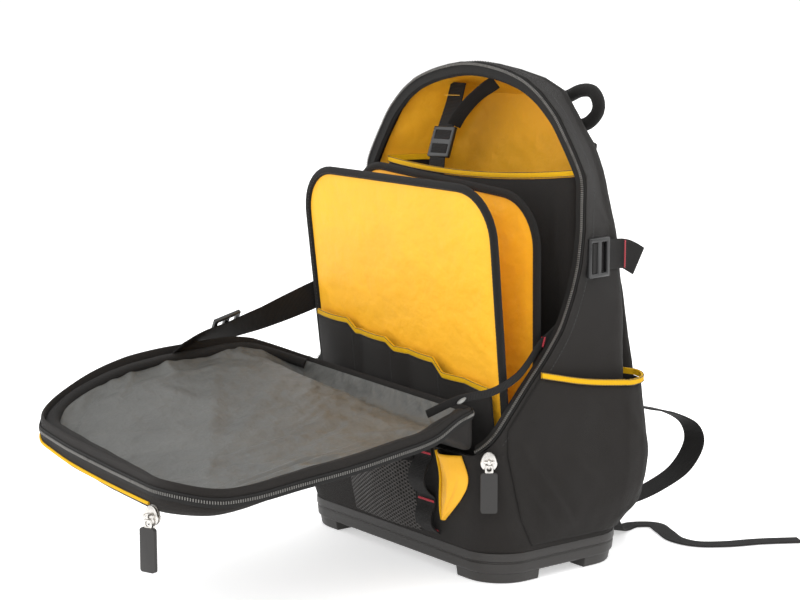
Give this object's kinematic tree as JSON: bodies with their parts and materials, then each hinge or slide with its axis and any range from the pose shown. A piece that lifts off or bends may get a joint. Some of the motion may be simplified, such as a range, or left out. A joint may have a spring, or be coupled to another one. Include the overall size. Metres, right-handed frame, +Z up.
{
  "type": "tool backpack, opened",
  "caption": "Tool backpack on a moulded tub base, front flap folded out on limit straps, dividers and pockets inside.",
  "frame": {"origin": "centre of the tub's flat underside, 10 mm above the floor that its four feet stand on", "axes": "+Z up, -Y towards the opening and the open flap, +X towards the pack's right side pocket"},
  "size_m": [0.4266, 0.7331, 0.5064],
  "materials": {
    "tub": "moulded, slightly rough, charcoal",
    "body_cloth": "heavy woven polyester, matt",
    "divider_cloth": "smooth coated cloth, orange yellow",
    "bright_trim": "yellow binding tape",
    "lining": "thin coated lining, soft sheen",
    "slide_plastic": "black moulded, semi gloss",
    "zip_tape": "zip tape with coil teeth",
    "pull_metal": "nickel plated",
    "pull_rubber": "soft matt rubber",
    "webbing": "ribbed webbing",
    "mesh": "open net"
  },
  "bodies": {
    "pack": {"base_tub": "tub", "body_shell": "body_cloth", "body_zip_tape": "zip_tape", "back_lining": "divider_cloth", "rear_pocket_panel": "body_cloth", "rear_pocket_trim": "bright_trim", "front_divider": "divider_cloth", "front_divider_binding": "body_cloth", "rear_divider": "divider_cloth", "rear_divider_binding": "body_cloth", "front_divider_pockets": "body_cloth", "front_divider_pocket_trim": "bright_trim", "tool_loop_1": "webbing", "tool_loop_2": "webbing", "front_mesh_pocket": "mesh", "knife_slot": "bright_trim", "hammer_loops": "webbing", "side_pocket_right": "body_cloth", "side_pocket_trim_right": "bright_trim", "compression_strap_right": "webbing", "compression_slide_right": "slide_plastic", "side_pocket_left": "body_cloth", "side_pocket_trim_left": "bright_trim", "compression_strap_left": "webbing", "compression_slide_left": "slide_plastic", "flap_shell": "body_cloth", "flap_lining": "lining", "flap_zip_tape": "zip_tape", "flap_binding": "body_cloth", "flap_piping": "bright_trim", "limit_strap_right": "webbing", "limit_strap_left": "webbing", "limit_slide_left": "slide_plastic", "closure_strap": "webbing", "closure_slide": "slide_plastic", "tie_strap": "webbing", "back_pad": "body_cloth", "shoulder_pad_right": "body_cloth", "shoulder_web_right": "webbing", "shoulder_pad_left": "body_cloth", "shoulder_web_left": "webbing", "web_tail": "webbing", "haul_handle": "webbing", "main_zip_slider": "pull_metal", "flap_zip_slider": "pull_metal"},
    "main_zip_pull": {"main_zip_pull_link": "pull_metal", "main_zip_pull_tab": "pull_rubber"},
    "flap_zip_pull": {"flap_zip_pull_link": "pull_metal", "flap_zip_pull_tab": "pull_rubber"}
  },
  "joints": [
    {"name": "main_pull_swing", "type": "hinge", "parent": "pack", "child": "main_zip_pull", "pos_m": [0.16951, -0.10326, 0.119], "axis": [-0.6018, -0.7986, 0], "range_deg": [0, 120]},
    {"name": "flap_pull_swing", "type": "hinge", "parent": "pack", "child": "flap_zip_pull", "pos_m": [0.12087, -0.44344, 0.112], "axis": [-0.9397, -0.342, 0], "range_deg": [0, 120]}
  ]
}
